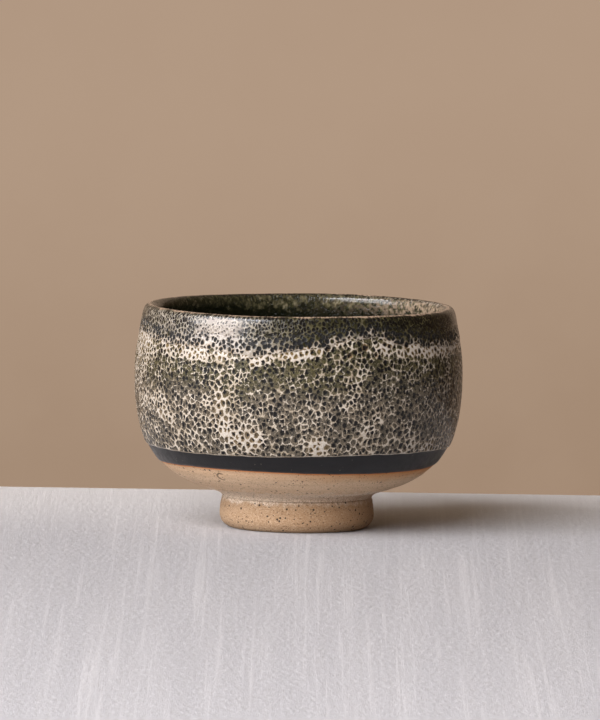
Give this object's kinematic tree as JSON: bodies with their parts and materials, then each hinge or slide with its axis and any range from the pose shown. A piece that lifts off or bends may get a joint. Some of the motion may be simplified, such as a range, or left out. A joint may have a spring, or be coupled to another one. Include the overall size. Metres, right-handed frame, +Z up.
{
  "type": "tea bowl",
  "caption": "Round stoneware tea bowl for whisked tea, with a full belly, a slightly inturned lip, glaze coats inside and out, and bare clay round a low foot ring.",
  "frame": {"origin": "centre of the foot's flat, on the surface that the bowl stands on", "axes": "+Z up along the bowl's axis of turning, out of its mouth; X and Y are equal"},
  "size_m": [0.12, 0.12, 0.0814],
  "materials": {
    "stoneware": "matte",
    "foot_clay": "matte",
    "slip": "matte",
    "black_glaze": "satin",
    "speckled_glaze": "gloss",
    "rim_glaze": "gloss",
    "liner_glaze": "gloss"
  },
  "bodies": {
    "root": {"stoneware_body": "stoneware", "foot_ring": "foot_clay", "neck_slip": "slip", "black_base_glaze": "black_glaze", "speckled_glaze": "speckled_glaze", "rim_glaze": "rim_glaze", "liner_glaze": "liner_glaze"}
  },
  "joints": []
}
